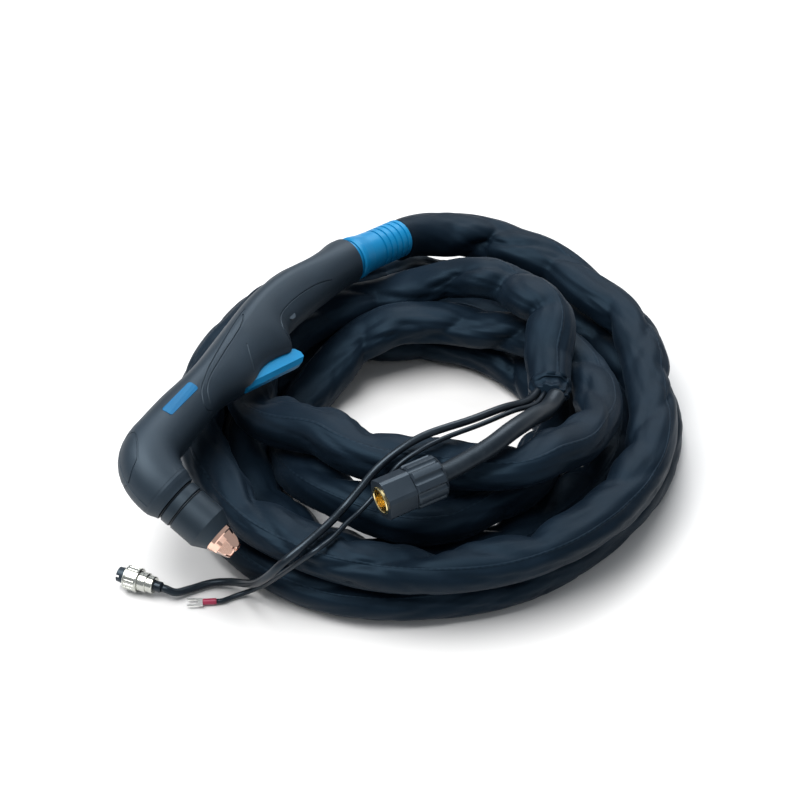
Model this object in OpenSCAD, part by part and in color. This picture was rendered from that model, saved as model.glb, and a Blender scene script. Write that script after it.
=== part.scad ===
// Plasma cutting torch lying on its own wound lead.
// Millimetres, +Z up. The origin is on the retaining cap's axis, in the middle of
// the cap's straight band. +X runs towards the rear of the handle.

/* [Pose on the coil] */
// Roll of the lying torch about its length
lay_tilt = 27; // [0:1:45]
// Height of the cap's axis above the surface the lead lies on
rest_height = 64.4; // [55:0.1:80]

/* [Handle] */
// Angle between the head's axis and the handle's axis
head_angle = 98; // [90:1:115]
// Radius of the middle line at the elbow
elbow_r = 25; // [20:1:40]
// Distance from the elbow to the start of the tail's bend
tail_x = 150; // [120:1:200]
// Radius of the tail's bend
tail_r = 150; // [100:5:300]
// Angle of the tail's bend
tail_angle = 22; // [0:1:35]
// Length of the shells along their middle line
shell_len = 268; // [240:1:300]
// Wall of the moulded shells
shell_wall = 3; // [2:0.1:4]
// Squareness of the shell's section, 2 is round
shell_power = 2.3; // [2:0.05:3]
// Radius of the shells' screws
screw_r = 1.5; // [1:0.1:2.5]

/* [Trigger] */
// Distance of the trigger's pin from the elbow, along the handle
pin_x = 101; // [90:1:120]
// Depth of the trigger's pin below the handle's axis
pin_y = 14; // [10:0.5:20]
// Radius of the trigger's pin
pin_r = 1.5; // [1:0.1:2.5]
// Width of the trigger
trigger_w = 10; // [8:0.1:14]
// Gap on each side of the trigger in its slot
trigger_gap = 0.8; // [0.4:0.1:1.5]
// Stroke of the switch's button
button_travel = 1.8; // [1:0.1:3]
// Radius of the switch's button
button_r = 1.2; // [0.8:0.1:2]

/* [Head] */
// Distance from the elbow to the middle of the cap's band
cup_s = 48; // [40:1:60]
// Radius of the insulating head body
head_r = 12.5; // [10:0.1:16]
// Radius of the retaining cap's band
cap_r = 14.6; // [12:0.1:18]
// Radius of the retaining cap's mouth
mouth_r = 9; // [7:0.1:12]
// Radius of the spacer ring
spacer_r = 14.8; // [12:0.1:18]
// Radius of the electrode
electrode_r = 3.4; // [2.5:0.1:5]
// Radius of the air and current tube
tube_r = 4; // [3:0.1:6]

/* [Swivel] */
// Radius of the blue collar's neck
neck_r = 12.2; // [10:0.1:15]
// Length of the swivel sleeve's rear end from the shells
swivel_len = 54; // [40:1:70]
// Radius of the swivel sleeve's front rim
swivel_r = 15; // [13:0.1:18]

/* [Lead] */
// Width of the flat laid fabric sleeve
sleeve_w = 30; // [24:0.5:40]
// Height of the flat laid fabric sleeve
sleeve_h = 26; // [20:0.5:34]
// Gap between neighbouring turns
turn_gap = 0.6; // [0.4:0.1:3]
// Radius of the coil's outer turn, at its middle
coil_r = 150; // [130:1:220]
// Sideways shift of the hand laid turns
coil_shift = 8; // [0:1:15]
// Radius of the gas hose
hose_r = 6; // [4:0.5:9]
// Radius of the control wire
wire_r = 2.5; // [1.5:0.1:3.5]
// Radius of the pilot wire
pilot_r = 1.6; // [1:0.1:2.5]

/* [Gas connector] */
// Radius of the ribbed grip
grip_r = 14; // [12:0.1:18]
// Width across flats of the insulator
hex_af = 24; // [20:0.5:30]
// Radius of the brass nut
nut_r = 8.7; // [8:0.1:10]
// Radius of the nut's threaded bore
nut_bore_r = 7.2; // [6:0.1:8]
// Radius of the hose nipple
nipple_r = 5; // [4:0.1:6]

/* [Plug] */
// Radius of the coupling ring
ring_r = 7.8; // [6:0.1:10]
// Radius of the plug's shell
plug_r = 6.3; // [5:0.1:8]
// Radius of the plug's insert
insert_r = 5.2; // [4:0.1:7]
// Radius of the fork terminal's sleeve
term_r = 2; // [1.5:0.1:3]

/* [Fits] */
// Radial clearance of turning fits
run_fit = 0.06; // [0.02:0.01:0.10]
// Radial clearance of assembled fits
set_fit = 0.05; // [0.02:0.01:0.10]
// Gap between faces that move past each other
face_gap = 0.5; // [0.3:0.1:1]

/* [Hidden] */
floor_z = -rest_height;
head_dir = [cos(head_angle), -sin(head_angle), 0];
elbow_t = elbow_r * tan((180 - head_angle) / 2);
elbow_len = elbow_r * (180 - head_angle) * PI / 180;
run_len = tail_x - elbow_t;
bend_len = tail_r * tail_angle * PI / 180;
tail_start = [tail_x + tail_r * sin(tail_angle), -tail_r * (1 - cos(tail_angle))];
tail_len = shell_len - elbow_len - run_len - bend_len;
tail_end = tail_start + tail_len * [cos(tail_angle), -sin(tail_angle)];
slot_w = trigger_w + 2 * trigger_gap;
collar_end = 30;
function collar_at(share) = elbow_t + (collar_end - elbow_t) * share;
tube_end = 14.06;
tube_bend = tube_end / tan((180 - head_angle) / 2);
spare = shell_len - 268;

// Shell stations: along the middle line, to the back edge, to the front edge, half width
PROFILE = [[0, 18, 18, 18], [18, 19, 18, 18], [36, 16.5, 18, 17.5], [63, 14.5, 18.6, 17.2],
    [85, 11.5, 19, 17.3], [95, 10.4, 20.5, 17.4], [104, 9.8, 23.5, 17.5], [113, 9.6, 26.8, 17.5],
    [122, 9.6, 27.3, 17.4], [131, 9.6, 26.4, 17.4], [141, 9.6, 28.2, 17.2], [150, 9.6, 31.8, 17],
    [159, 9.6, 35.6, 17], [165, 9.6, 32.6, 17], [172, 9.6, 27, 16.8], [187 + spare * 0.3, 9.6, 25.8, 16.5],
    [209 + spare * 0.6, 9.8, 24.5, 16.5], [232 + spare * 0.8, 10.6, 20.8, 16.5],
    [shell_len - 18, 13.2, 17.6, 16.2], [shell_len - 8, 15.8, 16.4, 16], [shell_len, 16, 16, 16]];
POWER = [[0, 2], [30, shell_power], [225 + spare * 0.8, shell_power], [shell_len - 6, 2], [shell_len, 2]];
OUTER = [0, 1.2, 8, 16, 25, 34, 43, 52, 61, 70, 80, 90];
INNER = [0, 20, 42, 66, 90];
STATIONS = concat([for (i = [0:9]) elbow_len * i / 10],
    [for (i = [0:21]) elbow_len + (150 - elbow_len) * i / 22],
    [150, 152.5, 155, 157, 159, 161, 163, 165, 168, 172],
    [for (i = [1:18]) 172 + (shell_len - 172) * i / 18]);

// Lay of the lead: turn, track counted inwards, layer counted upwards
LAY = [[0, -0.75, 1.35], [0.08, -0.4, 1.12], [0.19, 0.12, 1], [0.32, 0.15, 1], [0.50, 0.05, 1],
    [0.62, 0, 1], [0.76, 0, 1], [0.84, -0.21, 1.01], [0.92, -0.4, 0.45], [1, -0.4, 0],
    [1.15, -0.2, 0], [1.32, 0.42, 0], [1.40, 0.3, 0], [1.52, -0.08, 0], [1.60, -0.08, 0],
    [1.76, -0.05, 0], [1.95, 0.59, 0], [2.15, 0.82, 0], [2.32, 1.45, 0], [2.40, 1.33, 0],
    [2.52, 0.95, 0], [2.60, 0.93, 0], [2.76, 0.955, 0], [2.95, 1.635, 0], [3.12, 1.95, 0],
    [3.25, 2.4, 0.2], [3.37, 1.93, 1], [3.44, 1.5, 1], [3.53, 1.7, 1], [3.67, 1.97, 0],
    [3.74, 1.97, 0], [3.89, 2, 1], [4, 2, 1], [4.12, 1.4, 1.1], [4.20, 1.3, 1.3],
    [4.27, 1.35, 1.75], [4.33, 1.55, 2.06], [4.44, 2.3, 2], [4.56, 2.2, 2], [4.70, 1.05, 1.08],
    [4.88, 1, 1.02], [5.01, 1.3, 2.07], [5.08, 1.6, 2.23], [5.17, 2.3, 1.75]];
coil_c = [181, -77];
coil_pitch = sleeve_w + turn_gap;
coil_rise = sleeve_h + turn_gap;
SLEEVE = [[sleeve_w / 2, 0], [sleeve_w / 4, sleeve_h / 2], [-sleeve_w / 4, sleeve_h / 2],
    [-sleeve_w / 2, 0], [-sleeve_w / 4, -sleeve_h / 2], [sleeve_w / 4, -sleeve_h / 2]];

STRETCH_ROUTE = [[325, -11, -5], [337, -24, -9.5], [345, -41, -12.5], [349, -57, -15]];
GATHER_ROUTE = [[198.9, -153, -6.6], [194.5, -155, -3.6], [189, -156, 0]];
GATHER_SIZE = [[14, 12.2], [12, 9], [11.2, 7.4]];
HOSE_ROUTE = [[188.5, -160.5, 0.1], [172, -160.5, 3.2], [148, -158.5, 15.2], [124, -153.5, 22.2],
    [106, -147.5, 22.8], [92, -139, 20.6]];
WIRE_ROUTE = [[189, -147.7, 0], [172, -146.5, 5], [150, -138, 14], [127, -126, 19],
    [100, -105, 20.5], [84, -94.5, 17.5], [71, -86, 10.6], [60, -80, 2], [50, -75, -5],
    [36, -71.3, -7.6], [22, -67.6, -8], [10, -62.2, -10.8], [1, -55, -17], [-2, -47, -28],
    [1, -36, -42], [7, -24, -53], [9, -14, -58], [6, -2, -61], [-4, 8, -61],
    [-11.5, 14, -59]];
PILOT_ROUTE = [[189, -152.4, 0], [172, -152.2, 4.5], [150, -144.5, 13.5], [127, -132, 17],
    [105, -116, 18], [90, -107, 18], [77, -98, 13], [63, -89, -2], [50, -84, -7],
    [38, -80, -8.5], [25, -77, -9.6], [12, -72, -10], [7, -62, -20], [6.7, -50, -35],
    [8.3, -38, -50], [7.7, -29, -58], [3, -20, -62.2]];

// Gas connector: rear face and direction
conn_pos = [73.6, -125.9, 18];
conn_yaw = 143;
conn_dip = 2;
conn_dir = [cos(conn_yaw) * cos(conn_dip), sin(conn_yaw) * cos(conn_dip), -sin(conn_dip)];
// Plug: start of the boot, it points along +Y
plug_pos = [-13.2, 22, floor_z + ring_r + 0.2];
// Fork terminal: start of its sleeve
term_pos = [-5.5, -11.3, floor_z + term_r + 0.2];
term_yaw = 117;

// Places

module torch() {
    rotate([lay_tilt, 0, 0])
        translate(-cup_s * head_dir)
            children();
}

module along_head(s) {
    rotate([0, 0, -head_angle])
        rotate([0, 90, 0])
            translate([0, 0, s])
                children();
}

module along_tail(t) {
    translate([tail_end.x, tail_end.y, 0])
        rotate([0, 0, -tail_angle])
            rotate([0, 90, 0])
                translate([0, 0, t])
                    children();
}

module at_connector(t) {
    translate(conn_pos)
        rotate([0, 90 + conn_dip, conn_yaw])
            translate([0, 0, t])
                children();
}

module at_plug(t) {
    translate(plug_pos)
        rotate([-90, 0, 0])
            translate([0, 0, t])
                children();
}

module at_terminal(t) {
    translate(term_pos)
        rotate([0, 90, term_yaw])
            translate([0, 0, t])
                children();
}

module ring_of(outer, inner, height, from = 0) {
    translate([0, 0, from])
        difference() {
            cylinder(r = outer, h = height, $fn = 96);
            translate([0, 0, -1])
                cylinder(r = inner, h = height + 2, $fn = 96);
        }
}

// Torch places turned into the part's own frame
function tilt(p) = let (q = p - cup_s * head_dir)
    [q.x, q.y * cos(lay_tilt) - q.z * sin(lay_tilt), q.y * sin(lay_tilt) + q.z * cos(lay_tilt)];
function tail_point(t) = tilt([tail_end.x + t * cos(tail_angle), tail_end.y - t * sin(tail_angle), 0]);

// Swept forms

function unit(v) = v / norm(v);
function heading(p, i) = unit(p[min(i + 1, len(p) - 1)] - p[max(i - 1, 0)]);
function loop_at(c, t, up, sec) = let (s = unit(cross(t, up)), n = cross(s, t))
    [for (q = sec) c + q.x * s + q.y * n];
function oval(a, b, n) = [for (i = [0:n - 1]) [a * cos(360 * (i + 0.5) / n), b * sin(360 * (i + 0.5) / n)]];
function side_faces(m, k) = [for (i = [0:m - 2]) for (j = [0:k - 1]) for (h = [0, 1])
    h == 0 ? [i * k + j, i * k + (j + 1) % k, (i + 1) * k + (j + 1) % k]
        : [i * k + j, (i + 1) * k + (j + 1) % k, (i + 1) * k + j]];
function end_faces(m, k) = [[for (j = [k - 1:-1:0]) j], [for (j = [0:k - 1]) (m - 1) * k + j]];

module tube_along(p, r, n, up = [0, 0, 1]) {
    polyhedron([for (i = [0:len(p) - 1]) each loop_at(p[i], heading(p, i), up, oval(r, r, n))],
        concat(side_faces(len(p), n), end_faces(len(p), n)), convexity = 6);
}

// Handle shells

function spine(u) = u < elbow_len
    ? let (a = 270 - head_angle - u / elbow_r * 180 / PI)
        [elbow_t + elbow_r * cos(a), -elbow_r + elbow_r * sin(a), cos(a), sin(a)]
    : u < elbow_len + run_len ? [elbow_t + u - elbow_len, 0, 0, 1]
    : u < elbow_len + run_len + bend_len
        ? let (a = (u - elbow_len - run_len) / tail_r * 180 / PI)
            [tail_x + tail_r * sin(a), -tail_r * (1 - cos(a)), sin(a), cos(a)]
    : let (w = u - elbow_len - run_len - bend_len)
        [tail_start.x + w * cos(tail_angle), tail_start.y - w * sin(tail_angle),
            sin(tail_angle), cos(tail_angle)];
function slope(i, k) = let (a = PROFILE[max(i - 1, 0)], b = PROFILE[min(i + 1, len(PROFILE) - 1)])
    i == 0 || i == len(PROFILE) - 1 ? 0 : (b[k] - a[k]) / (b[0] - a[0]);
function station(u) = max([for (j = [0:len(PROFILE) - 2]) if (PROFILE[j][0] <= u) j]);
function profile_at(u, k) = let (i = station(u), a = PROFILE[i], b = PROFILE[i + 1], w = b[0] - a[0],
    x = (u - a[0]) / w)
    a[k] * (1 + 2 * x) * (1 - x) * (1 - x) + b[k] * x * x * (3 - 2 * x)
    + slope(i, k) * w * x * (1 - x) * (1 - x) - slope(i + 1, k) * w * x * x * (1 - x);
function rim_point(u, th, inset) = let (s = spine(u), n = lookup(u, POWER), c = cos(th),
    reach = profile_at(u, c >= 0 ? 1 : 2) - inset, off = sign(c) * reach * pow(abs(c), 2 / n))
    [s[0] + off * s[2], s[1] + off * s[3], (profile_at(u, 3) - inset) * pow(sin(th), 2 / n)];
function round_list(a) = concat(a, [for (i = [len(a) - 2:-1:0]) 180 - a[i]]);
function shell_ring(u) = let (o = round_list(OUTER), q = round_list(INNER))
    concat([for (i = [len(o) - 1:-1:0]) rim_point(u, o[i], o[i] == 0 || o[i] == 180 ? 0.4 : 0)],
        [for (a = q) rim_point(u, a, shell_wall)]);
function rib_ring(u, inset) = let (o = round_list(INNER))
    [for (i = [len(o) - 1:-1:0]) rim_point(u, o[i], inset)];

module half_shell() {
    k = 2 * len(OUTER) + 2 * len(INNER) - 2;
    polyhedron([for (u = STATIONS) each shell_ring(u)],
        concat(side_faces(len(STATIONS), k), end_faces(len(STATIONS), k)), convexity = 8);
}

module half_rib(u, thick) {
    k = 2 * len(INNER) - 1;
    polyhedron([for (v = [u, u + thick]) each rib_ring(v, 1.5)],
        concat(side_faces(2, k), end_faces(2, k)), convexity = 4);
}

SKIN = [180, 110, 97, 89, 81, 73, 65, 55, 30, 0];
function skin_ring(u, inset) = [for (a = SKIN) rim_point(u, a, inset)];

module skin(inset) {
    k = len(SKIN);
    polyhedron([for (u = [38:7:94]) each skin_ring(u, inset)],
        concat(side_faces(9, k), end_faces(9, k)), convexity = 4);
}

module label_outline(margin) {
    translate([49, 3.2, 8])
        rotate([0, 0, -5.7])
            linear_extrude(height = 14)
                offset(r = 1.8 + margin, $fn = 24)
                    square([27, 3.6], center = true);
}

function between(p, i, x) = let (a = p[max(i - 1, 0)], b = p[i], c = p[i + 1], d = p[min(i + 2, len(p) - 1)])
    0.5 * (2 * b + (c - a) * x + (2 * a - 5 * b + 4 * c - d) * x * x + (3 * b - a - 3 * c + d) * x * x * x);
function smooth(p, n) = concat([for (i = [0:len(p) - 2]) for (j = [0:n - 1]) between(p, i, j / n)],
    [p[len(p) - 1]]);

// Styling grooves: along the middle line, turn about it
LINES = [
    [[158, 57], [150.8, 57.5], [140.8, 61], [130.5, 67], [110, 78.5], [91.2, 90.5], [81.8, 96],
        [75.8, 104.5], [71.5, 120.5], [71.5, 138], [76, 150]],
    [[152, 66], [148.5, 77], [141.2, 87], [132.5, 90], [113, 91.5], [93.8, 96], [84.5, 103],
        [79.8, 112.5], [75.8, 132]],
    [[29.2, 8], [29.2, 35], [24, 50], [18, 50], [14.8, 42], [11.2, 15], [10.5, 4]],
    [[132.2, 107], [126.5, 121.5], [121, 145.5]],
    [[164, 158], [163, 140], [165, 126], [174, 121], [187.5, 119], [206.5, 119], [223.2, 122], [234.8, 130.5]]];

module shell_lines() {
    for (line = LINES)
        tube_along([for (q = smooth(line, 3)) rim_point(q[0], q[1], 0.05)], 0.6, 6);
}

SCREWS = [[34, -10.2], [88, -11], [166, -20]];

module shell_solids() {
    half_shell();
    difference() {
        union() {
            half_rib(75, 2.5);
            half_rib(120, 2.5);
        }
        translate([40, 0, 0])
            rotate([0, 90, 0])
                cylinder(r = tube_r + set_fit, h = 80, $fn = 64);
        translate([40, -5.6, 2.9])
            cube([80, 3.2, 3.2]);
    }
    difference() {
        along_head(15)
            cylinder(r = 16.2, h = 5, $fn = 96);
        along_head(14)
            cylinder(r = head_r + set_fit, h = 7, $fn = 96);
        translate([-60, -60, -60])
            cube([120, 120, 60]);
    }
    translate([119, -10.6, 4.6])
        cube([6, 4, 10.5]);
    translate([pin_x, -pin_y, slot_w / 2 - 1])
        cylinder(r = 3.2, h = 8.4, $fn = 48);
}

module slot_cut() {
    translate([95.8, -60, -slot_w / 2])
        cube([57.7, 50, slot_w]);
    translate([pin_x, -pin_y, -13.8])
        cylinder(r = pin_r + set_fit, h = 27.6, $fn = 48);
}

module handle_left() {
    color("#23252a")
        torch()
            difference() {
                union() {
                    shell_solids();
                    for (p = SCREWS)
                        translate([p.x, p.y, 0])
                            cylinder(r = 3.6, h = 11.6, $fn = 48);
                }
                slot_cut();
                for (p = SCREWS)
                    translate([p.x, p.y, -1])
                        cylinder(r = screw_r - 0.1, h = 10, $fn = 48);
                difference() {
                    label_outline(0.15);
                    skin(0.7);
                }
                shell_lines();
            }
}

module handle_right() {
    color("#1f2125")
        torch()
            difference() {
                mirror([0, 0, 1])
                    union() {
                        shell_solids();
                        for (p = SCREWS)
                            translate([p.x, p.y, 0])
                                cylinder(r = 4.4, h = 11.6, $fn = 48);
                    }
                slot_cut();
                mirror([0, 0, 1])
                    shell_lines();
                for (p = SCREWS)
                    translate([p.x, p.y, -20])
                        cylinder(r = screw_r + 0.15, h = 21, $fn = 48);
                for (p = SCREWS)
                    translate([p.x, p.y, -30])
                        cylinder(r = 2.9, h = 20, $fn = 48);
            }
}

module handle_screws() {
    color("#8d8f93")
        torch()
            for (p = SCREWS)
                translate([p.x, p.y, 0])
                    difference() {
                        union() {
                            translate([0, 0, -10.5])
                                cylinder(r = screw_r - 0.15, h = 18, $fn = 48);
                            translate([0, 0, -11.9])
                                cylinder(r = 2.7, h = 1.9, $fn = 48);
                        }
                        translate([0, 0, -12.4])
                            cylinder(r = 1.2, h = 1.4, $fn = 6);
                    }
}

module label_plate() {
    color("#1a8fd0")
        torch()
            difference() {
                intersection() {
                    label_outline(0);
                    skin(-0.2);
                }
                skin(0.65);
            }
}

// Head

module head_collar() {
    color("#23252a")
        torch()
            along_head(0)
                rotate_extrude($fn = 96)
                    polygon([[head_r + set_fit, elbow_t], [17.8, elbow_t], [17.8, collar_at(0.23)],
                        [17.2, collar_at(0.47)], [15.9, collar_at(0.83)], [15.5, collar_end],
                        [head_r + set_fit, collar_end]]);
}

module head_body() {
    color("#6b2a20")
        torch()
            along_head(0)
                rotate_extrude($fn = 96)
                    polygon([[6 + set_fit, 10], [10.6, 10], [head_r, 12], [head_r, 44], [6 + set_fit, 44]]);
}

module spacer_ring() {
    color("#1b1c1f")
        torch()
            along_head(0)
                rotate_extrude($fn = 96)
                    polygon([[head_r + set_fit, 31.4], [spacer_r - 0.5, 31.4], [spacer_r, 31.9],
                        [spacer_r, 37.1], [spacer_r - 0.5, 37.6], [head_r + set_fit, 37.6]]);
}

module o_rings() {
    color("#0f0f10")
        torch()
            for (s = [30.7, 38.3])
                along_head(s)
                    rotate_extrude($fn = 96)
                        translate([head_r + 0.74, 0])
                            circle(r = 0.68, $fn = 24);
}

module retaining_cap() {
    color("#26282c")
        torch()
            along_head(0)
                rotate_extrude($fn = 96)
                    polygon([[head_r + set_fit, 39], [cap_r - 0.4, 39], [cap_r, 39.4], [cap_r, 56],
                        [mouth_r + 1.6, 63.4], [mouth_r + 1.2, 64], [mouth_r, 64], [mouth_r, 53],
                        [11, 53], [11, 44.2], [head_r + set_fit, 44.2]]);
}

module shield_cap() {
    color("#c98264")
        torch()
            along_head(0)
                difference() {
                    rotate_extrude($fn = 96)
                        polygon([[7.2, 57], [mouth_r - set_fit, 57], [mouth_r - set_fit, 64], [9.7, 64],
                            [9.7, 66.4], [9.2, 67], [8.6, 69.5], [7.6, 73.5], [6, 77], [5.2, 78],
                            [3, 78], [3, 74], [5, 72], [7.2, 67]]);
                    for (a = [0:60:300])
                        rotate([0, 0, a]) {
                            translate([0, 0, 72.4])
                                rotate([0, -14, 0])
                                    translate([6.7, -5, -4])
                                        cube([6, 10, 12]);
                            rotate([0, 0, 30])
                                translate([2, -0.8, 75.6])
                                    cube([6, 1.6, 4]);
                        }
                }
}

module nozzle() {
    color("#b8744f")
        torch()
            along_head(0)
                rotate_extrude($fn = 96)
                    polygon([[4.2, 50], [10.9, 50], [10.9, 53], [6.8, 53], [6.8, 66], [2.2, 72],
                        [0.7, 72], [0.7, 68.5], [4.2, 64]]);
}

module swirl_ring() {
    color("#d9d2c0")
        torch()
            along_head(0)
                difference() {
                    ring_of(10.9, 4.3, 6, 44);
                    for (a = [15:60:315])
                        rotate([0, 0, a])
                            translate([3, 3.2, 47])
                                rotate([0, 90, 0])
                                    cylinder(r = 0.6, h = 9, $fn = 24);
                }
}

module electrode() {
    color("#c07a50")
        torch()
            along_head(0)
                rotate_extrude($fn = 64)
                    polygon([[0, 36], [electrode_r, 36], [electrode_r, 57], [2.6, 58], [1, 58],
                        [1, 57.4], [0, 57.4]]);
}

module cathode() {
    color("#b8913e")
        torch()
            along_head(0)
                rotate_extrude($fn = 64)
                    polygon([[2.8, 14.07], [6, 14.07], [6, 44], [electrode_r + set_fit, 44],
                        [electrode_r + set_fit, 36], [2.8, 36]]);
}

module torch_tube() {
    color("#b8744f")
        torch()
            union() {
                translate([tube_end, -tube_bend, 0])
                    rotate([0, 0, 90])
                        rotate_extrude(angle = 180 - head_angle, $fn = 96)
                            translate([tube_bend, 0])
                                difference() {
                                    circle(r = tube_r, $fn = 48);
                                    circle(r = tube_r - 1.2, $fn = 48);
                                }
                translate([tube_end, 0, 0])
                    rotate([0, 90, 0])
                        ring_of(tube_r, tube_r - 1.2, tail_x - 10 - tube_end);
            }
}

module hose_ferrule() {
    color("#b8913e")
        torch()
            translate([tail_x - 17.5, 0, 0])
                rotate([0, 90, 0])
                    rotate_extrude($fn = 64)
                        polygon([[tube_r + set_fit, 0], [5.5, 0], [6.2, 1], [6.2, 7], [5.7, 7.6], [5.7, 9],
                            [6.2, 9.6], [6.2, 17], [5.7, 17.5], [tube_r + set_fit, 17.5]]);
}

// The inner hose follows the tube's line, then the tail's axis
hose_bend = tail_r * 0.9;
hose_from = tail_x + (tail_r - hose_bend) * tan(tail_angle / 2);

function hose_arc(a) = [hose_from + hose_bend * sin(a), -hose_bend * (1 - cos(a)), 0];

module inner_hose() {
    p = concat([[tail_x, 0, 0]], [for (i = [0:4]) hose_arc(tail_angle * i / 4)],
        [[tail_end.x, tail_end.y, 0], [tail_end.x + (swivel_len + 0.1) * cos(tail_angle),
            tail_end.y - (swivel_len + 0.1) * sin(tail_angle), 0]]);
    color("#17181a")
        tube_along([for (q = p) tilt(q)], 5.6, 16);
}

// Trigger and switch

module micro_switch() {
    color("#2b2b2d")
        torch()
            difference() {
                translate([112, -13.6, -4.6])
                    cube([20, 9, 9.2]);
                translate([118, -14.6, 0])
                    rotate([-90, 0, 0])
                        cylinder(r = button_r + run_fit, h = 12 - 5.8, $fn = 48);
            }
}

module switch_button() {
    color("#b32a24")
        torch()
            translate([118, -16.1, 0])
                rotate([-90, 0, 0])
                    cylinder(r = button_r, h = 5.5, $fn = 48);
}

module switch_leads() {
    color("#8a1f1a")
        for (z = [-2, 2])
            tube_along([for (p = [[132, -9.1, z], [145, -9.5, z], [158, -9.9, z], [172, -10.6, z],
                [188, -13.5, z], [206, -20, z]]) tilt(p)], 0.9, 8);
}

module pilot_lead() {
    color("#d8d8d4")
        tube_along([for (p = [[7.03, -11.08, 0], [7.9, -8.4, 1.5], [10.5, -6.5, 3.5], [15, -5.4, 4.3],
            [24, -4.5, 4.5], [60, -4, 4.5], [106, -4, 4.5], [112, -3, 6], [130, -3.5, 6],
            [133, -6.2, 6], [150, -6.2, 5.8], [165, -7.2, 5.6], [185, -10.8, 5.6], [206, -19, 5.6]]) tilt(p)],
            1.1, 8, [0, -sin(lay_tilt), cos(lay_tilt)]);
}

TRIGGER = [[97, -14], [98.5, -24], [99.8, -26.8], [103.5, -28.2], [112, -31.6], [122, -35.4],
    [132, -39.3], [141, -42.9], [145.5, -44], [148.6, -42.6], [150, -39.6], [149, -35.5],
    [145.5, -31], [120, -20], [103, -12]];
TRIGGER_POCKET = [[105.5, -10], [105.5, -26.6], [112, -29.4], [122, -33.2], [132, -37.1],
    [141, -40.6], [143, -40.2], [143, -10]];

module trigger() {
    color("#1a8fd0")
        torch()
            difference() {
                union() {
                    difference() {
                        translate([0, 0, -trigger_w / 2])
                            linear_extrude(height = trigger_w)
                                polygon(TRIGGER);
                        translate([0, 0, -trigger_w / 2 + 2])
                            linear_extrude(height = trigger_w - 4)
                                polygon(TRIGGER_POCKET);
                    }
                    translate([pin_x, -pin_y, -trigger_w / 2])
                        cylinder(r = 4, h = trigger_w, $fn = 48);
                    translate([116, -32, -2.2])
                        cube([4, 32 - 16.4, 4.4]);
                }
                translate([pin_x, -pin_y, -20])
                    cylinder(r = pin_r + run_fit, h = 40, $fn = 48);
                translate([95, -20, -3])
                    cube([11, 11, 6]);
                for (z = [-1, 1])
                    translate([99.8, -26.8, z * trigger_w / 2])
                        rotate([0, 0, -21.5])
                            rotate([45, 0, 0])
                                translate([-10, -2, -2])
                                    cube([70, 4, 4]);
            }
}

module trigger_pin() {
    color("#a9abb0")
        torch()
            translate([pin_x, -pin_y, -13.6])
                cylinder(r = pin_r, h = 27.2, $fn = 48);
}

module trigger_spring() {
    color("#a9abb0")
        torch()
            translate([pin_x, -pin_y, 0])
                tube_along(concat([[9, 2.5, -1.9], [4, 2.5, -1.85]],
                    [for (i = [0:42]) [2.5 * cos(90 + 30 * i), 2.5 * sin(90 + 30 * i), -1.8 + 3.6 * i / 42]],
                    [[4, -2.5, 1.85], [9, -3.5, 1.9]]), 0.3, 6);
}

// Rear swivel

module tail_collar() {
    color("#1a8fd0")
        torch()
            along_tail(0)
                rotate_extrude($fn = 96)
                    polygon([[10.9, -7], [12.7, -7], [12.7, 0], [14.4, 0], [14.4, 1.8], [13.4, 2.4],
                        [13.4, 4], [neck_r, 4], [neck_r, 14], [10.9, 14]]);
}

module swivel_sleeve() {
    color("#1a8fd0")
        torch()
            along_tail(0)
                rotate_extrude($fn = 96)
                    polygon(concat([[neck_r + run_fit, 4 + face_gap], [swivel_r - 1, 4 + face_gap],
                        [swivel_r, 5.6], [swivel_r, 8.5], [13.8, 16], [13.4, swivel_len - 28]],
                        [for (i = [0:4]) let (t = swivel_len - 26.5 + 5.5 * i) each [[13.4, t - 0.8], [12.5, t - 0.7],
                            [12.5, t + 0.7], [13.4, t + 0.8]]],
                        [[13.4, swivel_len - 0.6], [13, swivel_len], [11.2, swivel_len],
                            [11.2, 14 + face_gap], [neck_r + run_fit, 14 + face_gap]]));
}

// Lead

function ease(x) = x * x * (3 - 2 * x);
function lay(t, k) = let (i = max([for (j = [0:len(LAY) - 2]) if (LAY[j][0] <= t) j]),
    a = LAY[i], b = LAY[i + 1]) a[k] + (b[k] - a[k]) * ease((t - a[0]) / (b[0] - a[0]));
function coil_at(t) = let (a = -360 * t, r = coil_r - coil_pitch * lay(t, 1) + coil_shift * cos(a + 167))
    [coil_c.x + r * cos(a), coil_c.y + r * sin(a), floor_z + sleeve_h / 2 + coil_rise * lay(t, 2)];
coil_turns = LAY[len(LAY) - 1][0];
coil_in = coil_at(0);
coil_out = coil_at(coil_turns);
in_dir = unit(coil_at(0.02) - coil_in);
out_dir = unit(coil_out - coil_at(coil_turns - 0.02));
COIL_PATH = concat([coil_in - 15 * in_dir, coil_in + 15 * in_dir],
    [for (i = [1:floor(coil_turns * 36 - 0.5)]) coil_at(i / 36)],
    [coil_out - 15 * out_dir, coil_out + 15 * out_dir]);
coil_start = COIL_PATH[0];
coil_end = COIL_PATH[len(COIL_PATH) - 1];
function coil_ring(i) = loop_at(COIL_PATH[i], heading(COIL_PATH, i), [0, 0, 1], SLEEVE);
function turn_gap_at(p, q) = let (d = norm([p.x - q.x, p.y - q.y]), dz = abs(p.z - q.z))
    max(dz - sleeve_h, (d - (sleeve_w - dz / sleeve_h * sleeve_w / 2)) * cos(30));
function path_length(p) = len(p) < 2 ? 0 : [for (i = 1, d = 0; i <= len(p);
    d = d + (i < len(p) ? norm(p[i] - p[i - 1]) : 0), i = i + 1) d][len(p) - 1];

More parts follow.
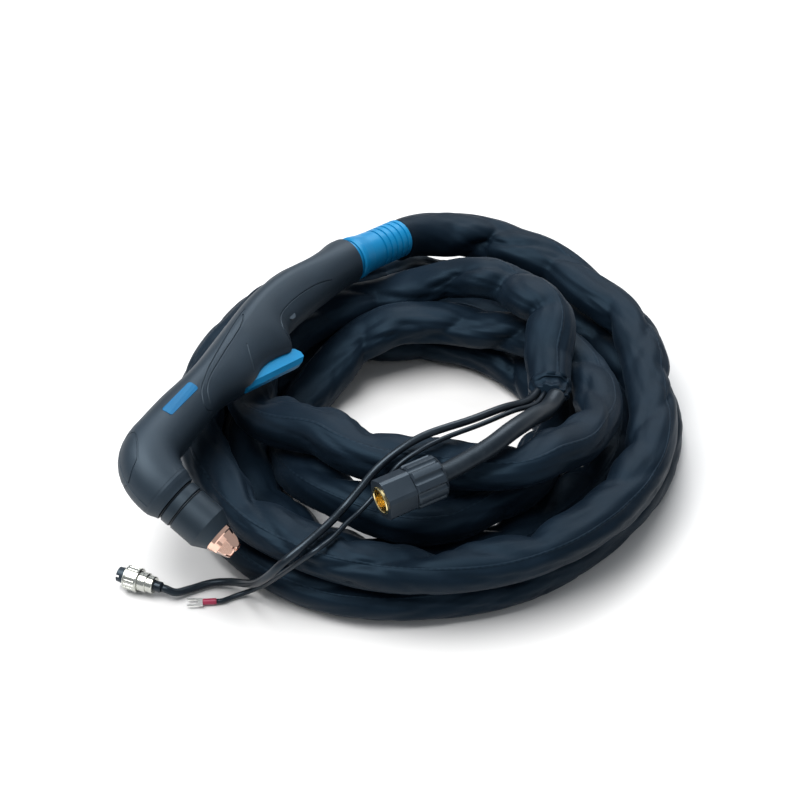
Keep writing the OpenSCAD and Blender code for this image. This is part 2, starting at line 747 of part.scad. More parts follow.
module lead_coil() {
    m = len(COIL_PATH);
    rings = [for (i = [0:m - 1]) coil_ring(i)];
    echo(least_gap = min([for (i = [0:m - 15]) for (j = [i + 14:m - 1])
        turn_gap_at(COIL_PATH[i], COIL_PATH[j])]));
    echo(coil_length = path_length(COIL_PATH));
    color("#2c2d30")
        polyhedron([for (r = rings) each r], concat(side_faces(m, 6), end_faces(m, 6)), convexity = 20);
}

module lead_stretch() {
    start = tail_point(swivel_len + 0.1);
    p = concat([start, tail_point(swivel_len + 8)], STRETCH_ROUTE, [coil_start]);
    m = len(p);
    function wide(i) = 12.4 + (sleeve_w / 2 - 12.4) * i / (m - 1);
    function tall(i) = 12.4 + (sleeve_h / 2 - 12.4) * i / (m - 1);
    echo(stretch_length = path_length(p));
    color("#2c2d30")
        polyhedron([for (i = [0:m - 1])
            each loop_at(p[i], i == m - 1 ? in_dir : heading(p, i), [0, 0, 1], oval(wide(i), tall(i), 12))],
            concat(side_faces(m, 12), end_faces(m, 12)), convexity = 6);
}

module sleeve_end() {
    p = concat([coil_end], GATHER_ROUTE);
    s = concat([[sleeve_w / 2 - 0.3, sleeve_h / 2 - 0.3]], GATHER_SIZE);
    color("#2c2d30")
        polyhedron([for (i = [0:3])
            each loop_at(p[i], i == 0 ? out_dir : i == 3 ? unit([-1, 0, 0.15]) : heading(p, i),
                [0, 0, 1], oval(s[i][0], s[i][1], 12))],
            concat(side_faces(4, 12), end_faces(4, 12)), convexity = 6);
}

hose_tip = conn_pos + 22 * conn_dir;

module gas_hose() {
    p = concat(HOSE_ROUTE, [conn_pos - 4 * conn_dir, conn_pos, hose_tip]);
    echo(hose_length = path_length(p));
    color("#1a1b1d")
        tube_along(p, hose_r, 12);
}

module control_wire() {
    p = concat(WIRE_ROUTE, [plug_pos - [0, 0.1, 0] * 20, plug_pos]);
    echo(wire_length = path_length(p));
    color("#151618")
        tube_along(p, wire_r, 8);
}

module pilot_wire() {
    p = concat(PILOT_ROUTE, [term_pos - 3 * [cos(term_yaw), sin(term_yaw), 0], term_pos]);
    echo(pilot_length = path_length(p));
    color("#151618")
        tube_along(p, pilot_r, 8);
}

// Gas connector

module nut_grip() {
    color("#1d1e21")
        at_connector(0)
            difference() {
                rotate_extrude($fn = 96)
                    polygon([[hose_r + 0.4, 0], [grip_r - 1.6, 0], [grip_r, 1.6], [grip_r, 19.8],
                        [grip_r - 1.2, 21], [10 + set_fit, 21], [10 + set_fit, 3], [hose_r + 0.4, 3]]);
                for (a = [0:36:324])
                    rotate([0, 0, a])
                        translate([grip_r + 1.6, 0, 1.6])
                            cylinder(r = 2.9, h = 25, $fn = 32);
            }
}

module hex_insulator() {
    color("#1d1e21")
        at_connector(0)
            difference() {
                union() {
                    translate([0, 0, 3])
                        cylinder(r = 10, h = 19, $fn = 96);
                    intersection() {
                        translate([0, 0, 21.3])
                            cylinder(r = hex_af / 2 / cos(30), h = 18.7, $fn = 6);
                        translate([0, 0, 21.3])
                            cylinder(r = hex_af / 2 + 1.1, h = 18.7, $fn = 96);
                    }
                }
                translate([0, 0, 24])
                    cylinder(r = nut_r + set_fit, h = 20, $fn = 96);
                translate([0, 0, 2])
                    cylinder(r = hose_r + 0.4, h = 30, $fn = 96);
            }
}

module brass_nut() {
    color("#c9a24a")
        at_connector(0)
            rotate_extrude($fn = 96)
                polygon([[nipple_r + run_fit, 24], [nut_r, 24], [nut_r, 40.5], [nut_r - 0.5, 41],
                    [nut_bore_r + 0.5, 41], [nut_bore_r, 40.5], [nut_bore_r, 33.5],
                    [nut_bore_r + 0.5, 33.5], [nut_bore_r + 0.5, 27], [nipple_r + run_fit, 27]]);
}

module hose_nipple() {
    color("#b8913e")
        at_connector(0)
            rotate_extrude($fn = 64)
                polygon([[2.4, 22], [nipple_r, 22], [nipple_r, 27.4], [6.8, 27.4], [6.8, 29.4], [3.6, 33],
                    [2.4, 33]]);
}

// Plug on the control wire

module plug_boot() {
    color("#151618")
        at_plug(0)
            rotate_extrude($fn = 48)
                polygon([[0, 0], [2.9, 0], [3.4, 0.8], [3.4, 9], [0, 9]]);
}

module plug_clamp() {
    color("#b9bbbe")
        at_plug(0)
            rotate_extrude($fn = 64)
                polygon([[3.4 + set_fit, 5], [5, 5], [5.5, 5.5], [5.5, 9.5], [3.4 + set_fit, 9.5]]);
}

module plug_shell() {
    color("#b9bbbe")
        at_plug(0)
            rotate_extrude($fn = 64)
                polygon([[3.4 + set_fit, 9.5], [plug_r - 0.4, 9.5], [plug_r, 9.9], [plug_r, 20.8],
                    [plug_r + 0.6, 20.8], [plug_r + 0.6, 22], [insert_r + set_fit, 22],
                    [insert_r + set_fit, 11], [3.4 + set_fit, 11]]);
}

module plug_ring() {
    color("#c6c8cb")
        at_plug(0)
            difference() {
                rotate_extrude($fn = 64)
                    polygon([[plug_r + run_fit, 15], [ring_r - 0.5, 15], [ring_r, 15.5], [ring_r, 24],
                        [ring_r - 0.5, 24.5], [plug_r + 0.75, 24.5], [plug_r + 0.75, 20.5],
                        [plug_r + run_fit, 20.5]]);
                for (a = [0:18:342])
                    rotate([0, 0, a])
                        translate([ring_r + 0.25, 0, 16.5])
                            cylinder(r = 0.6, h = 6.5, $fn = 24);
            }
}

module plug_insert() {
    color("#111214")
        at_plug(0)
            difference() {
                union() {
                    translate([0, 0, 11])
                        cylinder(r = insert_r, h = 13.6, $fn = 64);
                    translate([0, 0, 11])
                        cylinder(r = insert_r - 0.2, h = 16.6, $fn = 64);
                    translate([0, 0, 11])
                        cylinder(r = insert_r - 0.45, h = 19, $fn = 64);
                }
                translate([0, 0, 27.8])
                    cylinder(r = 4.1, h = 5, $fn = 64);
                for (a = [90, 210, 330])
                    rotate([0, 0, a])
                        translate([3.4, -0.7, 27.9])
                            cube([3, 1.4, 4]);
            }
}

module plug_pins() {
    color("#d2b56a")
        at_plug(0)
            for (a = [0, 120, 240])
                rotate([0, 0, a])
                    translate([2.2, 0, 27.8])
                        cylinder(r = 0.55, h = 1.8, $fn = 24);
}

// Fork terminal on the pilot wire

module terminal_sleeve() {
    color("#9c2430")
        at_terminal(0)
            rotate_extrude($fn = 48)
                polygon([[0, 0], [term_r - 0.3, 0], [term_r, 0.4], [term_r, 8.1], [term_r - 0.3, 8.5],
                    [0, 8.5]]);
}

module fork_terminal() {
    color("#b9bbbe")
        translate(term_pos)
            rotate([0, 0, term_yaw])
                difference() {
                    translate([8.5, -3.25, -0.4])
                        cube([9.5, 6.5, 0.8]);
                    translate([13.2, 0, -1])
                        cylinder(r = 1.85, h = 2, $fn = 32);
                    translate([13.2, -1.85, -1])
                        cube([6, 3.7, 2]);
                }
}

handle_left();
handle_right();
head_collar();
head_body();
spacer_ring();
o_rings();
retaining_cap();
shield_cap();
nozzle();
swirl_ring();
electrode();
cathode();
torch_tube();
hose_ferrule();
inner_hose();
micro_switch();
switch_button();
switch_leads();
pilot_lead();
trigger();
trigger_pin();
trigger_spring();
handle_screws();
label_plate();
tail_collar();
swivel_sleeve();
lead_stretch();
lead_coil();
sleeve_end();
gas_hose();
nut_grip();
hex_insulator();
brass_nut();
hose_nipple();
control_wire();
plug_boot();
plug_clamp();
plug_shell();
plug_ring();
plug_insert();
plug_pins();
pilot_wire();
terminal_sleeve();
fork_terminal();
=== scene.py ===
import logging
import math
import random
from dataclasses import dataclass, field
from enum import Enum
from typing import Any, Callable, Optional, Sequence, Union

import bpy
from mathutils import Matrix, Vector, noise


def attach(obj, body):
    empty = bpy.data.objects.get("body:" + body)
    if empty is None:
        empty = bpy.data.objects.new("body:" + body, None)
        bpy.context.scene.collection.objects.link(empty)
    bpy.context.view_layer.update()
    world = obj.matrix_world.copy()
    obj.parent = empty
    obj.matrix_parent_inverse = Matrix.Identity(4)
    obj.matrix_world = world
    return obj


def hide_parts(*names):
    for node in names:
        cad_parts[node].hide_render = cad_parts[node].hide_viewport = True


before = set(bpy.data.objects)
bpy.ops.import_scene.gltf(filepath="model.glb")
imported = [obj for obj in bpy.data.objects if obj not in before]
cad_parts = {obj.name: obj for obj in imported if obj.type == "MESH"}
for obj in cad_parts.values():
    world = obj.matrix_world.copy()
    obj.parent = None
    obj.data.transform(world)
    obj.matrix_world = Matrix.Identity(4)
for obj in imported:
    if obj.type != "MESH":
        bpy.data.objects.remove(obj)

# Looks of a plasma cutting torch that lies on its own wound lead.
#
# Metres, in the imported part's frame: the origin is on the retaining cap's axis, +X runs towards
# the rear of the handle and +Z is up. Sizes and routes are in millimetres where MM is used.

LOG = logging.getLogger("torch")
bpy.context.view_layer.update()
MM = 0.001
TURN = 2.0 * math.pi

Colour = tuple[float, float, float]
Place = tuple[float, float, float]
Values = Union[Sequence[Any], dict[str, Any], None]
Section = Callable[[int, float], tuple[float, float]]

FOLD_SEED = 11

# The tint of the dim highlights on black plastic, rubber and cloth, and on the blue parts.
COOL_TINT: Colour = (0.66, 0.84, 1.0)
BLUE_TINT: Colour = (0.34, 0.80, 1.0)
CLOTH_TINT: Colour = (0.42, 0.72, 1.0)


class Body(str, Enum):
    """The bodies that new pieces ride on."""

    TORCH = "torch"


class Slot(str, Enum):
    """Names of the record's material slots; each cord keeps one, but no piece takes its finish
    from it.
    """

    FABRIC = "braid_fabric"
    SHELL = "shell_plastic"
    HOSE = "hose_rubber"
    WIRE = "wire_jacket"


# ---------------- torch frame


@dataclass(frozen=True)
class TorchFrame:
    """Turns the torch's own places, in millimetres, into the part's frame.

    Attributes:
        head_angle: how far the head's axis turns down, in degrees.
        lay_tilt: the torch's roll where it lies, in degrees.
        cup_s: the origin's place on the head's axis.
        floor: the height of the surface that the lead lies on.
        tail_end: the end of the shells.
        tail_angle: how far the tail's axis turns down, in degrees.
    """

    head_angle: float = 98.0
    lay_tilt: float = 27.0
    cup_s: float = 48.0
    floor: float = -64.4
    tail_end: tuple[float, float] = (249.17, -28.29)
    tail_angle: float = 22.0

    def head_dir(self) -> Vector:
        """The head axis's direction in the torch's plane."""
        a = math.radians(self.head_angle)
        return Vector((math.cos(a), -math.sin(a), 0.0))

    def matrix(self) -> Matrix:
        """The matrix from torch millimetres to the part's metres."""
        turn = Matrix.Rotation(math.radians(self.lay_tilt), 4, "X")
        move = Matrix.Translation(-self.cup_s * self.head_dir())
        return Matrix.Scale(MM, 4) @ turn @ move

    def point(self, x: float, y: float, z: float = 0.0) -> Vector:
        """A torch place in the part's metres."""
        return self.matrix() @ Vector((x, y, z))

    def tail(self, t: float) -> Vector:
        """A place on the tail's axis, t millimetres behind the shells."""
        a = math.radians(self.tail_angle)
        return self.point(self.tail_end[0] + t * math.cos(a), self.tail_end[1] - t * math.sin(a))


TORCH = TorchFrame()


# ---------------- shader tools


class Sock:
    """A node's output that can be used in sums and products."""

    def __init__(self, finish: "Finish", out: bpy.types.NodeSocket) -> None:
        """Keeps the output and the finish that owns it."""
        self.finish = finish
        self.out = out

    def _math(self, operation: str, a: Any, b: Any = None) -> "Sock":
        """Adds one Math node.

        Args:
            operation: the Math node's operation.
            a: first value or output.
            b: second value or output.

        Returns:
            The node's output.
        """
        values = [a] if b is None else [a, b]
        node = self.finish.node("ShaderNodeMath", {"operation": operation}, values)
        return Sock(self.finish, node.outputs[0])

    def __add__(self, other: Any) -> "Sock":
        """The sum."""
        return self._math("ADD", self, other)

    __radd__ = __add__

    def __sub__(self, other: Any) -> "Sock":
        """The difference."""
        return self._math("SUBTRACT", self, other)

    def __rsub__(self, other: Any) -> "Sock":
        """The difference from a number."""
        return self._math("SUBTRACT", other, self)

    def __mul__(self, other: Any) -> "Sock":
        """The product."""
        return self._math("MULTIPLY", self, other)

    __rmul__ = __mul__

    def absolute(self) -> "Sock":
        """This value without its sign."""
        return self._math("ABSOLUTE", self)

    def sine(self) -> "Sock":
        """The sine of this value."""
        return self._math("SINE", self)

    def spread(self, low: float, high: float, to_low: float = 0.0,
               to_high: float = 1.0) -> "Sock":
        """Maps one range to another, smoothly and clamped.

        Args:
            low: the start of the range.
            high: the end of the range.
            to_low: the result at the start.
            to_high: the result at the end.

        Returns:
            The mapped value.
        """
        settings = {"interpolation_type": "SMOOTHSTEP", "clamp": True}
        values = [self, low, high, to_low, to_high]
        node = self.finish.node("ShaderNodeMapRange", settings, values)
        return Sock(self.finish, node.outputs[0])


class Finish:
    """A material under construction, with one Principled shader."""

    def __init__(self, name: str) -> None:
        """Makes the material and its shader.

        Args:
            name: the material's name.
        """
        self.material = bpy.data.materials.new(name)
        self.material.use_nodes = True
        self.tree = self.material.node_tree
        self.tree.nodes.clear()
        self.shader = self.node("ShaderNodeBsdfPrincipled")
        end = self.node("ShaderNodeOutputMaterial")
        self.tree.links.new(self.shader.outputs[0], end.inputs[0])

    def node(self, kind: str, settings: Optional[dict[str, Any]] = None,
             values: Values = None) -> bpy.types.Node:
        """Adds one node.

        Args:
            kind: the node's type.
            settings: its own settings, set before its sockets.
            values: numbers, colours or outputs, by order or by socket name.

        Returns:
            The node.
        """
        node = self.tree.nodes.new(kind)
        for key, value in (settings or {}).items():
            setattr(node, key, value)
        pairs = values.items() if isinstance(values, dict) else enumerate(values or [])
        for key, value in pairs:
            socket = node.inputs[key]
            if isinstance(value, Sock):
                self.tree.links.new(value.out, socket)
            elif value is not None:
                socket.default_value = value
        return node

    def place(self, use_uv: bool = False) -> Sock:
        """The surface's own coordinates: the object's, or its UV map's."""
        node = self.node("ShaderNodeTexCoord")
        return Sock(self, node.outputs["UV" if use_uv else "Object"])

    def stretched(self, vector: Sock, scale: Place, turn: float = 0.0) -> Sock:
        """Stretches and turns a pattern.

        Args:
            vector: the coordinates.
            scale: the stretch along each axis.
            turn: the turn about the third axis, in radians.

        Returns:
            The new coordinates.
        """
        values = {"Vector": vector, "Rotation": (0.0, 0.0, turn), "Scale": scale}
        node = self.node("ShaderNodeMapping", None, values)
        return Sock(self, node.outputs[0])

    def axes(self, vector: Sock) -> tuple[Sock, Sock, Sock]:
        """The three parts of a vector."""
        x, y, z = self.node("ShaderNodeSeparateXYZ", None, [vector]).outputs
        return Sock(self, x), Sock(self, y), Sock(self, z)

    def noise(self, vector: Sock, scale: float, detail: float, roughness: float = 0.5) -> Sock:
        """Cloudy noise from 0 to 1.

        Args:
            vector: the coordinates.
            scale: how many clouds there are to a unit.
            detail: how many finer layers are added.
            roughness: how strong the finer layers are.

        Returns:
            The noise.
        """
        values = {"Vector": vector, "Scale": scale, "Detail": detail, "Roughness": roughness}
        node = self.node("ShaderNodeTexNoise", None, values)
        return Sock(self, node.outputs[0])

    def mix(self, factor: Union[Sock, float], a: Any, b: Any) -> Sock:
        """Blends two colours.

        Args:
            factor: 0 for the first, 1 for the second.
            a: first colour or output.
            b: second colour or output.

        Returns:
            The blended colour.
        """
        def full(colour: Any) -> Any:
            """A colour with its alpha."""
            return colour if isinstance(colour, Sock) else (*colour, 1.0)

        values = {0: factor, 6: full(a), 7: full(b)}
        node = self.node("ShaderNodeMix", {"data_type": "RGBA"}, values)
        return Sock(self, node.outputs[2])

    def bump(self, height: Sock, distance: float, strength: float,
             under: Optional[Sock] = None) -> Sock:
        """A Bump node.

        Args:
            height: the height, from 0 to 1.
            distance: the height's size in metres.
            strength: how much of it shows.
            under: a normal to build on.

        Returns:
            The new normal.
        """
        values = {"Strength": strength, "Distance": distance, "Height": height}
        node = self.node("ShaderNodeBump", None, values)
        if under is not None:
            self.tree.links.new(under.out, node.inputs["Normal"])
        return Sock(self, node.outputs[0])

    def dress(self, **sockets: Any) -> bpy.types.Material:
        """Sets the shader's sockets.

        Args:
            **sockets: numbers, colours or outputs by socket name, with _ in place of a space.

        Returns:
            The finished material.
        """
        for key, value in sockets.items():
            socket = self.shader.inputs[key.replace("_", " ")]
            if isinstance(value, Sock):
                self.tree.links.new(value.out, socket)
            elif isinstance(value, tuple) and len(value) == 3 and socket.type == "RGBA":
                socket.default_value = (*value, 1.0)
            else:
                socket.default_value = value
        return self.material


# ---------------- finishes


@dataclass(frozen=True)
class MouldedPlastic:
    """Moulded plastic with a fine spark-eroded grain."""

    name: str
    colour: Colour
    light: Colour
    rough: float
    grain: float = 2600.0
    depth: float = 0.00004
    coat: float = 0.0
    tint: Colour = COOL_TINT

    def build(self) -> bpy.types.Material:
        """Makes the material.

        Returns:
            The material.
        """
        f = Finish(self.name)
        place = f.place()
        cloud = f.noise(place, 28.0, 4.0, 0.6)
        scratches = f.stretched(place, (1.0, 3.0, 1.5))
        scuff = f.noise(scratches, 140.0, 5.0, 0.65).spread(0.60, 0.78)
        grain = f.noise(place, self.grain, 2.0, 0.6)
        tone = f.mix(cloud.spread(0.35, 0.7), self.colour, self.light)
        tone = f.mix(scuff * 0.16, tone, tuple(min(1.0, c * 1.6 + 0.02) for c in self.light))
        rough = self.rough + (cloud - 0.5) * 0.12 + scuff * 0.10
        return f.dress(Base_Color=tone, Roughness=rough, Normal=f.bump(grain, self.depth, 0.7),
                       IOR=1.5, Specular_Tint=self.tint, Coat_Weight=self.coat,
                       Coat_Roughness=0.25)


@dataclass(frozen=True)
class Metal:
    """Machined or plated metal with turning marks and light tarnish."""

    name: str
    colour: Colour
    tarnish: Colour
    rough: float
    marks: float = 900.0
    depth: float = 0.00001
    spots: float = 0.35

    def build(self) -> bpy.types.Material:
        """Makes the material.

        Returns:
            The material.
        """
        f = Finish(self.name)
        place = f.place()
        stain = f.noise(place, 160.0, 5.0, 0.62).spread(0.52, 0.78)
        fine = f.noise(f.stretched(place, (1.0, 6.0, 1.0)), self.marks, 3.0, 0.55)
        tone = f.mix(stain * self.spots, self.colour, self.tarnish)
        rough = self.rough + stain * 0.14 + (fine - 0.5) * 0.10
        return f.dress(Base_Color=tone, Metallic=1.0, Roughness=rough,
                       Normal=f.bump(fine, self.depth, 0.6))


@dataclass(frozen=True)
class Rubber:
    """Extruded rubber or vinyl jacket."""

    name: str
    colour: Colour
    light: Colour
    rough: float
    gloss: float = 0.36
    pits: float = 1500.0
    dust: Colour = (0.10, 0.11, 0.12)

    def build(self) -> bpy.types.Material:
        """Makes the material.

        Returns:
            The material.
        """
        f = Finish(self.name)
        place = f.place()
        cloud = f.noise(place, 60.0, 4.0, 0.6)
        dust = f.noise(place, 420.0, 4.0, 0.7).spread(0.55, 0.8)
        tone = f.mix(cloud.spread(0.35, 0.7), self.colour, self.light)
        tone = f.mix(dust * 0.10, tone, self.dust)
        rough = self.rough + (cloud - 0.5) * 0.15 + dust * 0.15
        return f.dress(Base_Color=tone, Roughness=rough, Specular_Tint=COOL_TINT,
                       Specular_IOR_Level=self.gloss,
                       Normal=f.bump(f.noise(place, self.pits, 2.0), 0.00002, 0.6))


@dataclass(frozen=True)
class CoatedFabric:
    """The lead's coated cloth: a fine plain weave with a sewn seam and a dull sheen.

    Attributes:
        name: the material's name.
        colour: the cloth's dark tone.
        light: its light tone.
        worn: the tone of rubbed places and of the seam's thread.
        between: the tone between the weave's threads.
        thread: the weave's pitch in metres.
        seam_at: the seam's place around the sleeve, in metres.
        wander: how far the seam strays, in metres.
        stitch: the seam's stitch length in metres.
    """

    name: str = "sleeve_cloth"
    colour: Colour = (0.0016, 0.0042, 0.0084)
    light: Colour = (0.0036, 0.0080, 0.0146)
    worn: Colour = (0.009, 0.017, 0.027)
    between: Colour = (0.002, 0.003, 0.005)
    thread: float = 0.00085
    seam_at: float = 0.031
    wander: float = 0.024
    stitch: float = 0.0042

    def build(self) -> bpy.types.Material:
        """Makes the material.

        Returns:
            The material.
        """
        f = Finish(self.name)
        uv = f.place(True)
        across, along, _ = f.axes(uv)
        turns = TURN / self.thread
        weave = (across * turns).sine() * (along * turns).sine() * 0.5 + 0.5
        stray = f.noise(f.stretched(uv, (0.0, 4.0, 0.0)), 1.0, 1.0)
        off = (across - self.seam_at - (stray - 0.5) * self.wander).absolute()
        seam = off.spread(0.0003, 0.0011, 1.0, 0.0)
        thread = (along * (TURN / self.stitch)).sine().spread(-0.3, 0.3) * seam
        place = f.place()
        cloud = f.noise(place, 22.0, 5.0, 0.6)
        crease = f.noise(f.stretched(uv, (46.0, 13.0, 1.0), 0.5), 1.0, 4.0, 0.62)
        rub = f.noise(place, 95.0, 6.0, 0.7).spread(0.58, 0.82)
        tone = f.mix(cloud.spread(0.3, 0.72), self.colour, self.light)
        tone = f.mix(rub * 0.22, tone, self.worn)
        tone = f.mix(weave * 0.2, tone, self.between)
        tone = f.mix(thread * 0.35, tone, self.worn)
        normal = f.bump(crease, 0.0009, 0.5)
        normal = f.bump(weave, 0.00008, 0.4, normal)
        normal = f.bump(1.0 - seam, 0.0004, 0.7, normal)
        rough = 0.52 + (cloud - 0.5) * 0.14 + rub * 0.10
        return f.dress(Base_Color=tone, Roughness=rough, Normal=normal,
                       Specular_IOR_Level=0.16, Specular_Tint=CLOTH_TINT, Sheen_Weight=0.03,
                       Sheen_Roughness=0.4, Sheen_Tint=(0.35, 0.55, 0.80))


# ---------------- mesh tools


def ease(x: float) -> float:
    """A smooth step from 0 to 1."""
    return x * x * (3.0 - 2.0 * x)


def metres(points: Sequence[Place]) -> list[Vector]:
    """Millimetre points as metre vectors."""
    return [Vector(p) * MM for p in points]


def axis_point(start: Place, yaw: float, dip: float, t: float) -> Place:
    """A place on a fitting's axis.

    Args:
        start: the axis's start in millimetres.
        yaw: its heading in degrees.
        dip: how far it points down, in degrees.
        t: the distance along it in millimetres.

    Returns:
        The place in millimetres.
    """
    a, b = math.radians(yaw), math.radians(dip)
    d = (math.cos(a) * math.cos(b), math.sin(a) * math.cos(b), -math.sin(b))
    return (start[0] + t * d[0], start[1] + t * d[1], start[2] + t * d[2])


def catmull(points: Sequence[Vector], steps: int) -> list[Vector]:
    """A smooth curve through points.

    Args:
        points: the points it passes through.
        steps: samples for each span.

    Returns:
        The samples, ends included.
    """
    pts = [2 * points[0] - points[1], *points, 2 * points[-1] - points[-2]]
    out: list[Vector] = []
    for i in range(1, len(pts) - 2):
        p0, p1, p2, p3 = pts[i - 1:i + 3]
        k0, k1, k2 = (math.sqrt(max((b - a).length, 1e-6))
                      for a, b in ((p0, p1), (p1, p2), (p2, p3)))
        m1 = (p1 - p0) / k0 - (p2 - p0) / (k0 + k1) + (p2 - p1) / k1
        m2 = (p2 - p1) / k1 - (p3 - p1) / (k1 + k2) + (p3 - p2) / k2
        for j in range(steps):
            t = j / steps
            out.append((2 * t ** 3 - 3 * t ** 2 + 1) * p1 + (t ** 3 - 2 * t ** 2 + t) * k1 * m1
                       + (3 * t ** 2 - 2 * t ** 3) * p2 + (t ** 3 - t ** 2) * k1 * m2)
    out.append(points[-1].copy())
    return out


def resample(points: Sequence[Vector], spacing: float) -> list[Vector]:
    """The same line with points at equal steps.

    Args:
        points: the line.
        spacing: the wanted step in metres.

    Returns:
        The new points, ends included.
    """
    sums = [0.0]
    for a, b in zip(points, points[1:]):
        sums.append(sums[-1] + (b - a).length)
    count = max(2, round(sums[-1] / spacing))
    out, j = [], 0
    for i in range(count + 1):
        want = sums[-1] * i / count
        while j < len(sums) - 2 and sums[j + 1] < want:
            j += 1
        t = (want - sums[j]) / max(sums[j + 1] - sums[j], 1e-9)
        out.append(points[j].lerp(points[j + 1], min(max(t, 0.0), 1.0)))
    return out


def line_length(points: Sequence[Vector]) -> float:
    """The length of a line in metres."""
    return sum((b - a).length for a, b in zip(points, points[1:]))


def sweep(name: str, path: Sequence[Vector], sides: int, section: Section,
          width: float) -> bpy.types.Object:
    """A closed tube mesh along a path, with a UV map in metres.

    Args:
        name: the piece's name.
        path: the points it follows.
        sides: points around.
        section: gives the sideways and upward offset of ring i at a share of the way round.
        width: the distance around, for the UV map.

    Returns:
        The object.
    """
    verts: list[Vector] = []
    along = [0.0]
    for a, b in zip(path, path[1:]):
        along.append(along[-1] + (b - a).length)
    for i, point in enumerate(path):
        heading = (path[min(i + 1, len(path) - 1)] - path[max(i - 1, 0)]).normalized()
        side = heading.cross(Vector((0, 0, 1))).normalized()
        up = side.cross(heading)
        for j in range(sides):
            x, y = section(i, j / sides)
            verts.append(point + side * x + up * y)
    faces, uvs = [], []
    for i in range(len(path) - 1):
        for j in range(sides):
            k = (j + 1) % sides
            faces.append((i * sides + j, i * sides + k, (i + 1) * sides + k, (i + 1) * sides + j))
            u0, u1 = width * j / sides, width * (j + 1) / sides
            uvs += [(u0, along[i]), (u1, along[i]), (u1, along[i + 1]), (u0, along[i + 1])]
    last = (len(path) - 1) * sides
    faces.append(tuple(reversed(range(sides))))
    faces.append(tuple(last + j for j in range(sides)))
    uvs += [(0.0, 0.0)] * (2 * sides)
    mesh = bpy.data.meshes.new(name)
    mesh.from_pydata([tuple(v) for v in verts], [], faces)
    layer = mesh.uv_layers.new(name="UVMap")
    for loop, uv in zip(layer.data, uvs):
        loop.uv = uv
    for polygon in mesh.polygons:
        polygon.use_smooth = len(polygon.vertices) == 4
    mesh.validate()
    piece = bpy.data.objects.new(name, mesh)
    bpy.context.scene.collection.objects.link(piece)
    return piece


def dress_piece(piece: bpy.types.Object, material: bpy.types.Material,
                body: Body) -> None:
    """Gives a new piece its material and the body it rides on.

    Args:
        piece: the object.
        material: its material.
        body: the body it moves with.
    """
    piece.data.materials.clear()
    piece.data.materials.append(material)
    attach(piece, body.value)
    LOG.info("%s: %d faces on %s", piece.name, len(piece.data.polygons), body.value)


# ---------------- the lead


@dataclass(frozen=True)
class Buckle:
    """A fold across the sleeve where the cloth buckles.

    Attributes:
        at: its middle along the sleeve, in metres.
        depth: the share by which it draws the cloth in.
        angle: its middle around the sleeve, in radians.
        skew: how far it slants, in metres for each radian.
        width: its width in metres.
        span: how far it reaches around the sleeve to each side, in radians.
        puff: the share of its depth by which the cloth beside it puffs out.
        puff_at: the puff's distance from the fold in metres.
        puff_width: the puff's width in metres.
    """

    at: float
    depth: float
    angle: float
    skew: float
    width: float
    span: float = 1.9
    puff: float = 0.16
    puff_at: float = 0.019
    puff_width: float = 0.011

    def draw(self, s: float, a: float) -> float:
        """The share by which this fold draws the cloth in.

        Args:
            s: distance along the sleeve in metres.
            a: angle around the sleeve.

        Returns:
            The share, below 0 where the cloth puffs out beside the fold.
        """
        off = (a - self.angle + math.pi) % TURN - math.pi
        if abs(off) >= self.span:
            return 0.0
        window = math.cos(off / self.span * math.pi / 2) ** 1.3
        d = abs(s - self.at - self.skew * off)
        beside = math.exp(-((d - self.puff_at) / self.puff_width) ** 2)
        return window * (self.depth * math.exp(-d / self.width) - self.puff * self.depth * beside)


